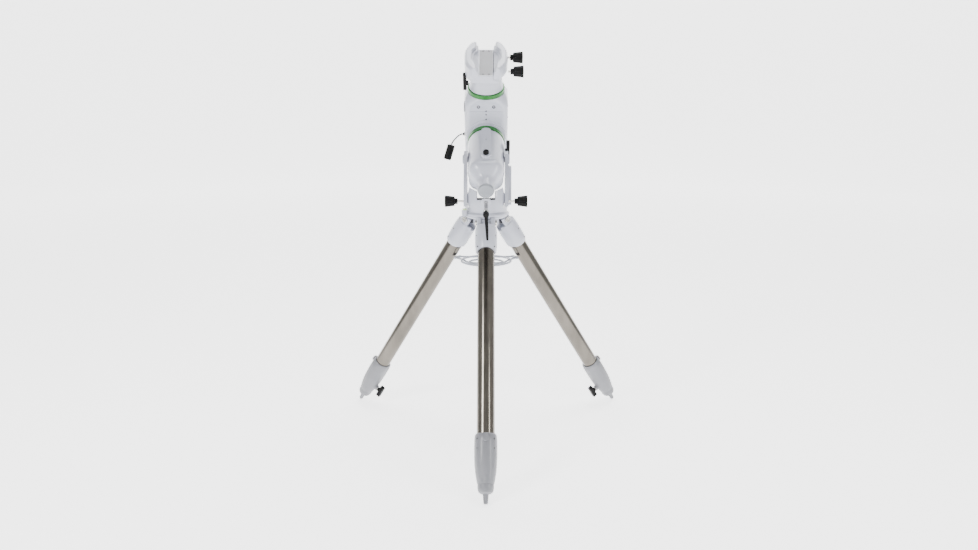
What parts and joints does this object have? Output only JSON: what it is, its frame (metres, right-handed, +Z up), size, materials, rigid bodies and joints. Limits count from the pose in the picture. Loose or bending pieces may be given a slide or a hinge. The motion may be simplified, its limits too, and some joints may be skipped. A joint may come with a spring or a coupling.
{
  "type": "equatorial mount",
  "caption": "German equatorial telescope mount with dual-size dovetail saddle and green setting circles on a folding steel tripod with spreader tray.",
  "frame": {"origin": "on the ground, under the middle of the whole object's box", "axes": "+Z up, polar axis in the YZ plane pointing away along +Y and up, +X to the viewer's right"},
  "size_m": [0.9212, 0.8059, 1.2432],
  "materials": {
    "white": "gloss white enamel",
    "grey": "satin grey",
    "steel": "polished stainless",
    "green": "green anodised",
    "black": "satin black",
    "brass": "machined",
    "board": "solder mask",
    "glass": "clear"
  },
  "bodies": {
    "tripod": {"tripod_head": "white", "tripod_centre_rod": "steel"},
    "leg_front": {"leg_casting_front": "white", "leg_outer_tube_front": "steel", "leg_clamp_front": "white", "leg_hinge_bolt_front": "steel"},
    "leg_extension_front": {"leg_extension_front": "grey"},
    "leg_clamp_knob_front": {"leg_clamp_knob_front": "black"},
    "leg_right": {"leg_casting_right": "white", "leg_outer_tube_right": "steel", "leg_clamp_right": "white", "leg_hinge_bolt_right": "steel"},
    "leg_extension_right": {"leg_extension_right": "grey"},
    "leg_clamp_knob_right": {"leg_clamp_knob_right": "black"},
    "leg_left": {"leg_casting_left": "white", "leg_outer_tube_left": "steel", "leg_clamp_left": "white", "leg_hinge_bolt_left": "steel"},
    "leg_extension_left": {"leg_extension_left": "grey"},
    "leg_clamp_knob_left": {"leg_clamp_knob_left": "black"},
    "tray": {"spreader_tray": "grey"},
    "tray_knob": {"tray_knob": "black"},
    "azimuth": {"azimuth_base": "white", "altitude_pivot_bolt_left": "grey", "altitude_pivot_bolt_right": "grey", "electronics_cover": "white", "control_board": "board", "level_vial": "glass"},
    "azimuth_knob_left": {"azimuth_knob_left": "black"},
    "azimuth_knob_right": {"azimuth_knob_right": "black"},
    "altitude_bolt": {"altitude_bolt": "steel"},
    "polar_housing": {"polar_axis_housing": "white", "polar_rear_cover": "white", "polar_scope": "black", "polar_motor": "black", "polar_bearing_front": "steel"},
    "polar_scope_cap": {"polar_scope_cap": "grey"},
    "polar_worm": {"polar_worm": "steel"},
    "polar_clutch_lever": {"polar_clutch_lever": "black"},
    "circle_lock_screw": {"circle_lock_screw": "black"},
    "polar_axis": {"polar_axis_shaft": "steel", "polar_worm_wheel": "brass", "declination_housing": "white", "declination_bearing_upper": "steel", "lead": "black", "lead_gland": "black", "lead_connector": "black"},
    "polar_setting_circle": {"polar_setting_circle": "green"},
    "declination_axis": {"declination_shaft": "steel", "declination_worm_wheel": "brass", "saddle_neck": "white", "saddle_plate": "white"},
    "declination_circle": {"declination_setting_circle": "green"},
    "declination_clutch_lever": {"declination_clutch_lever": "black"},
    "saddle_jaw": {"saddle_jaw": "white"},
    "saddle_knob_upper": {"saddle_knob_upper": "black"},
    "saddle_knob_lower": {"saddle_knob_lower": "black"},
    "counterweight_shaft": {"counterweight_shaft": "steel", "counterweight_stop": "grey"},
    "shaft_lock_collar": {"shaft_lock_collar": "black"}
  },
  "joints": [
    {"name": "leg_fold_front", "type": "hinge", "parent": "tripod", "child": "leg_front", "pos_m": [0, 0.06798, 0.69874], "axis": [1, 0, 0], "range_deg": [0, 15]},
    {"name": "leg_extend_front", "type": "slide", "parent": "leg_front", "child": "leg_extension_front", "axis": [0, -0.557, -0.8305], "range_m": [0, 0.3]},
    {"name": "leg_clamp_turn_front", "type": "hinge", "parent": "leg_front", "child": "leg_clamp_knob_front", "pos_m": [0, -0.3509, 0.0742], "axis": [0, 0.8305, -0.557], "continuous": true},
    {"name": "leg_fold_right", "type": "hinge", "parent": "tripod", "child": "leg_right", "pos_m": [0.05196, 0.15798, 0.69874], "axis": [-0.5, 0.866, 0], "range_deg": [0, 15]},
    {"name": "leg_extend_right", "type": "slide", "parent": "leg_right", "child": "leg_extension_right", "axis": [0.4824, 0.2785, -0.8305], "range_m": [0, 0.3]},
    {"name": "leg_clamp_turn_right", "type": "hinge", "parent": "leg_right", "child": "leg_clamp_knob_right", "pos_m": [0.41472, 0.36742, 0.0742], "axis": [-0.7192, -0.4152, -0.557], "continuous": true},
    {"name": "leg_fold_left", "type": "hinge", "parent": "tripod", "child": "leg_left", "pos_m": [-0.05196, 0.15798, 0.69874], "axis": [-0.5, -0.866, 0], "range_deg": [0, 15]},
    {"name": "leg_extend_left", "type": "slide", "parent": "leg_left", "child": "leg_extension_left", "axis": [-0.4824, 0.2785, -0.8305], "range_m": [0, 0.3]},
    {"name": "leg_clamp_turn_left", "type": "hinge", "parent": "leg_left", "child": "leg_clamp_knob_left", "pos_m": [-0.41472, 0.36742, 0.0742], "axis": [0.7192, -0.4152, -0.557], "continuous": true},
    {"name": "tray_drop", "type": "slide", "parent": "tripod", "child": "tray", "axis": [0, 0, -1], "range_m": [0, 0.131]},
    {"name": "tray_knob_turn", "type": "hinge", "parent": "tray", "child": "tray_knob", "pos_m": [0, 0.12798, 0.5], "axis": [0, 0, 1], "continuous": true},
    {"name": "azimuth_turn", "type": "hinge", "parent": "tripod", "child": "azimuth", "pos_m": [0, 0.12798, 0.72], "axis": [0, 0, 1], "range_deg": [-8, 8]},
    {"name": "azimuth_knob_left_turn", "type": "hinge", "parent": "azimuth", "child": "azimuth_knob_left", "pos_m": [0, 0.10798, 0.75974], "axis": [-1, 0, 0], "continuous": true},
    {"name": "azimuth_knob_right_turn", "type": "hinge", "parent": "azimuth", "child": "azimuth_knob_right", "pos_m": [0, 0.10798, 0.75974], "axis": [1, 0, 0], "continuous": true},
    {"name": "altitude_bolt_turn", "type": "hinge", "parent": "azimuth", "child": "altitude_bolt", "pos_m": [0, 0.06398, 0.76574], "axis": [0, -0.9359, -0.3523], "range_deg": [-90, 90]},
    {"name": "altitude_tilt", "type": "hinge", "parent": "azimuth", "child": "polar_housing", "pos_m": [0, 0.15355, 0.88476], "axis": [1, 0, 0], "range_deg": [-20, 3]},
    {"name": "polar_scope_cap_pull", "type": "slide", "parent": "polar_housing", "child": "polar_scope_cap", "axis": [0, -0.8572, -0.515], "range_m": [0, 0.04]},
    {"name": "polar_worm_turn", "type": "hinge", "parent": "polar_housing", "child": "polar_worm", "pos_m": [0, 0.22867, 0.88206], "axis": [1, 0, 0], "continuous": true},
    {"name": "polar_clutch_turn", "type": "hinge", "parent": "polar_housing", "child": "polar_clutch_lever", "pos_m": [0.06, 0.20927, 0.90657], "axis": [1, 0, 0], "range_deg": [0, 40]},
    {"name": "circle_lock_turn", "type": "hinge", "parent": "polar_housing", "child": "circle_lock_screw", "pos_m": [0, 0.07379, 0.90683], "axis": [0, -0.515, 0.8572], "continuous": true},
    {"name": "polar_axis_turn", "type": "hinge", "parent": "polar_housing", "child": "polar_axis", "pos_m": [0, 0.29498, 0.96974], "axis": [0, 0.8572, 0.515], "continuous": true},
    {"name": "polar_circle_turn", "type": "hinge", "parent": "polar_housing", "child": "polar_setting_circle", "pos_m": [0, 0.23069, 0.93111], "axis": [0, 0.8572, 0.515], "continuous": true},
    {"name": "declination_turn", "type": "hinge", "parent": "polar_axis", "child": "declination_axis", "pos_m": [0, 0.24348, 1.05546], "axis": [0, -0.515, 0.8572], "continuous": true},
    {"name": "declination_circle_turn", "type": "hinge", "parent": "polar_axis", "child": "declination_circle", "pos_m": [0, 0.21669, 1.10003], "axis": [0, -0.515, 0.8572], "continuous": true},
    {"name": "declination_clutch_turn", "type": "hinge", "parent": "declination_axis", "child": "declination_clutch_lever", "pos_m": [-0.054, 0.15975, 1.11714], "axis": [-1, 0, 0], "range_deg": [0, 30]},
    {"name": "jaw_slide", "type": "slide", "parent": "declination_axis", "child": "saddle_jaw", "axis": [1, 0, 0], "range_m": [0, 0.008]},
    {"name": "saddle_knob_upper_turn", "type": "hinge", "parent": "saddle_jaw", "child": "saddle_knob_upper", "pos_m": [0.074, 0.20917, 1.19409], "axis": [1, 0, 0], "continuous": true},
    {"name": "saddle_knob_lower_turn", "type": "hinge", "parent": "saddle_jaw", "child": "saddle_knob_lower", "pos_m": [0.074, 0.13717, 1.15083], "axis": [1, 0, 0], "continuous": true},
    {"name": "counterweight_shaft_slide", "type": "slide", "parent": "polar_axis", "child": "counterweight_shaft", "axis": [0, 0.515, -0.8572], "range_m": [0, 0.18]},
    {"name": "shaft_lock_turn", "type": "hinge", "parent": "polar_axis", "child": "shaft_lock_collar", "pos_m": [0, 0.34648, 0.88402], "axis": [0, -0.515, 0.8572], "continuous": true}
  ],
  "couplings": [
    {"joint": "leg_fold_right", "follows": "leg_fold_front", "ratio": 1},
    {"joint": "leg_fold_left", "follows": "leg_fold_front", "ratio": 1},
    {"joint": "tray_drop", "follows": "leg_fold_front", "m_per_rad": 0.5}
  ]
}
